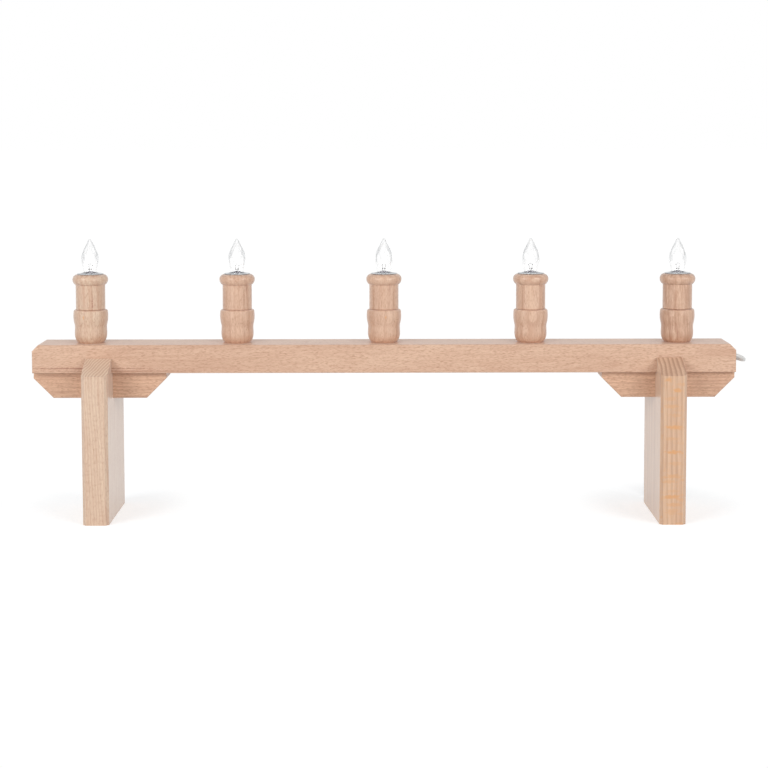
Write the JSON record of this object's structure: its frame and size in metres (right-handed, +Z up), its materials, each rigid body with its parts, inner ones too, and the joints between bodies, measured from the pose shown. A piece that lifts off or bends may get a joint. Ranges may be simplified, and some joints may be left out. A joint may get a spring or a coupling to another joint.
{
  "type": "advent candle holder",
  "caption": "Beech candle bank: a straight beam on two notched leg boards carries a row of turned wooden candles with clear screw-in candle bulbs and a thin supply cord.",
  "frame": {"origin": "on the floor, midway between the two legs and on the line of the candles", "axes": "+X along the beam towards the end where the cord leaves, -Y towards the front, +Z up"},
  "size_m": [0.5857, 0.1937, 0.2273],
  "materials": {
    "beech": "sanded, unvarnished",
    "clear_glass": "clear",
    "disc_metal": "satin",
    "brass": "bright",
    "cap_metal": "bright",
    "filament_wire": "dark",
    "holder_plastic": "moulded",
    "wire_sheath": "satin",
    "screw_steel": "zinc plated",
    "bush_plastic": "moulded",
    "cord_sheath": "satin",
    "tie_band": "satin",
    "plug_plastic": "moulded",
    "pin_metal": "nickel plated"
  },
  "bodies": {
    "holder": {"beam": "beech", "left_bracket": "beech", "right_bracket": "beech", "left_leg": "beech", "right_leg": "beech", "wiring_cover": "beech", "terminal_tabs": "brass", "bracket_screws": "screw_steel", "wiring_loom": "wire_sheath", "cord_bush": "bush_plastic", "cord_drop": "cord_sheath", "cord_hank": "cord_sheath", "cord_tie": "tie_band", "plug_body": "plug_plastic", "plug_pins": "pin_metal", "candle_cup_1": "beech", "candle_sleeve_1": "beech", "drip_disc_1": "disc_metal", "lamp_holder_1": "holder_plastic", "screw_shell_1": "brass", "candle_cup_2": "beech", "candle_sleeve_2": "beech", "drip_disc_2": "disc_metal", "lamp_holder_2": "holder_plastic", "screw_shell_2": "brass", "candle_cup_3": "beech", "candle_sleeve_3": "beech", "drip_disc_3": "disc_metal", "lamp_holder_3": "holder_plastic", "screw_shell_3": "brass", "candle_cup_4": "beech", "candle_sleeve_4": "beech", "drip_disc_4": "disc_metal", "lamp_holder_4": "holder_plastic", "screw_shell_4": "brass", "candle_cup_5": "beech", "candle_sleeve_5": "beech", "drip_disc_5": "disc_metal", "lamp_holder_5": "holder_plastic", "screw_shell_5": "brass"},
    "contact_1": {"centre_contact_1": "brass"},
    "bulb_1": {"bulb_glass_1": "clear_glass", "bulb_cap_1": "cap_metal", "bulb_filament_1": "filament_wire"},
    "contact_2": {"centre_contact_2": "brass"},
    "bulb_2": {"bulb_glass_2": "clear_glass", "bulb_cap_2": "cap_metal", "bulb_filament_2": "filament_wire"},
    "contact_3": {"centre_contact_3": "brass"},
    "bulb_3": {"bulb_glass_3": "clear_glass", "bulb_cap_3": "cap_metal", "bulb_filament_3": "filament_wire"},
    "contact_4": {"centre_contact_4": "brass"},
    "bulb_4": {"bulb_glass_4": "clear_glass", "bulb_cap_4": "cap_metal", "bulb_filament_4": "filament_wire"},
    "contact_5": {"centre_contact_5": "brass"},
    "bulb_5": {"bulb_glass_5": "clear_glass", "bulb_cap_5": "cap_metal", "bulb_filament_5": "filament_wire"}
  },
  "joints": [
    {"name": "contact_1_lift", "type": "slide", "parent": "holder", "child": "contact_1", "axis": [0, 0, 1], "range_m": [0, 0.00182]},
    {"name": "bulb_1_turn", "type": "hinge", "parent": "contact_1", "child": "bulb_1", "pos_m": [-0.24, 0, 0.19], "axis": [0, 0, 1], "range_deg": [0, 360]},
    {"name": "contact_2_lift", "type": "slide", "parent": "holder", "child": "contact_2", "axis": [0, 0, 1], "range_m": [0, 0.00182]},
    {"name": "bulb_2_turn", "type": "hinge", "parent": "contact_2", "child": "bulb_2", "pos_m": [-0.12, 0, 0.19], "axis": [0, 0, 1], "range_deg": [0, 360]},
    {"name": "contact_3_lift", "type": "slide", "parent": "holder", "child": "contact_3", "axis": [0, 0, 1], "range_m": [0, 0.00182]},
    {"name": "bulb_3_turn", "type": "hinge", "parent": "contact_3", "child": "bulb_3", "pos_m": [0, 0, 0.19], "axis": [0, 0, 1], "range_deg": [0, 360]},
    {"name": "contact_4_lift", "type": "slide", "parent": "holder", "child": "contact_4", "axis": [0, 0, 1], "range_m": [0, 0.00182]},
    {"name": "bulb_4_turn", "type": "hinge", "parent": "contact_4", "child": "bulb_4", "pos_m": [0.12, 0, 0.19], "axis": [0, 0, 1], "range_deg": [0, 360]},
    {"name": "contact_5_lift", "type": "slide", "parent": "holder", "child": "contact_5", "axis": [0, 0, 1], "range_m": [0, 0.00182]},
    {"name": "bulb_5_turn", "type": "hinge", "parent": "contact_5", "child": "bulb_5", "pos_m": [0.24, 0, 0.19], "axis": [0, 0, 1], "range_deg": [0, 360]}
  ],
  "couplings": [
    {"joint": "contact_1_lift", "follows": "bulb_1_turn", "m_per_rad": 0.00028871},
    {"joint": "contact_2_lift", "follows": "bulb_2_turn", "m_per_rad": 0.00028871},
    {"joint": "contact_3_lift", "follows": "bulb_3_turn", "m_per_rad": 0.00028871},
    {"joint": "contact_4_lift", "follows": "bulb_4_turn", "m_per_rad": 0.00028871},
    {"joint": "contact_5_lift", "follows": "bulb_5_turn", "m_per_rad": 0.00028871}
  ]
}
